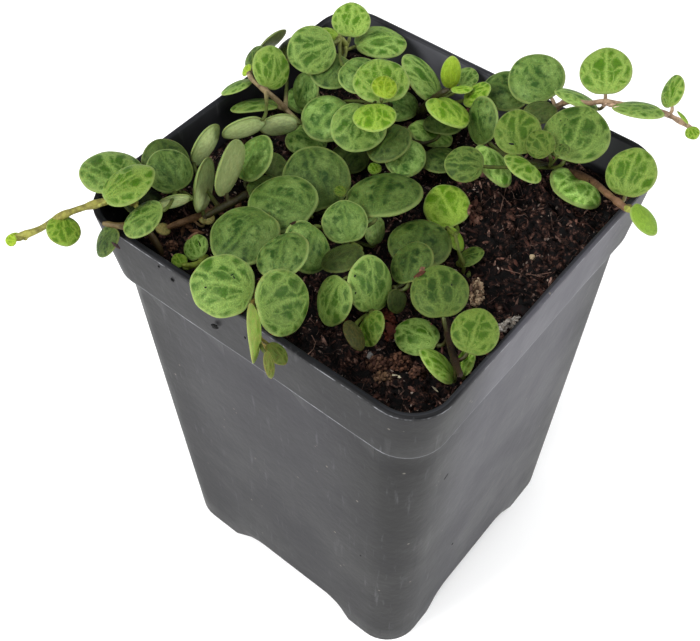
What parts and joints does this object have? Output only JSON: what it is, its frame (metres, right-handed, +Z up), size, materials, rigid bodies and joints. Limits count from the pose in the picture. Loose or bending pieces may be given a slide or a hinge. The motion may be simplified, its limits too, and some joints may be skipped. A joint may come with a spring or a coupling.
{
  "type": "string of turtles in a nursery pot",
  "caption": "Small square tapered nursery pot on corner feet, filled with potting soil, with trailing stems of round patterned succulent leaves over its rim.",
  "frame": {"origin": "on the surface that the pot stands on, under the middle of the box that holds pot and plant; the pot's own axis stands 1.6 mm to -X and 1.9 mm to +Y of it", "axes": "+Z up; X and Y square to the pot's walls, with the pot's barest soil towards +X and -Y"},
  "size_m": [0.0746, 0.0838, 0.1004],
  "materials": {
    "pot": "satin",
    "soil": "matte",
    "foliage": "satin"
  },
  "bodies": {
    "root": {"pot": "pot", "soil": "soil", "stem_back_corner": "foliage", "stem_back_middle": "foliage", "stem_back_sprig": "foliage", "stem_centre": "foliage", "stem_front": "foliage", "stem_front_left": "foliage", "stem_front_middle": "foliage", "stem_front_right": "foliage", "stem_left_centre": "foliage", "stem_left_climber": "foliage", "stem_left_corner": "foliage", "stem_left_fan": "foliage", "stem_left_stub": "foliage", "stem_left_trailing": "foliage", "stem_middle": "foliage", "stem_old_runner": "foliage", "stem_overhang": "foliage", "stem_right_centre": "foliage", "stem_right_clump": "foliage", "stem_right_runner": "foliage"}
  },
  "joints": []
}
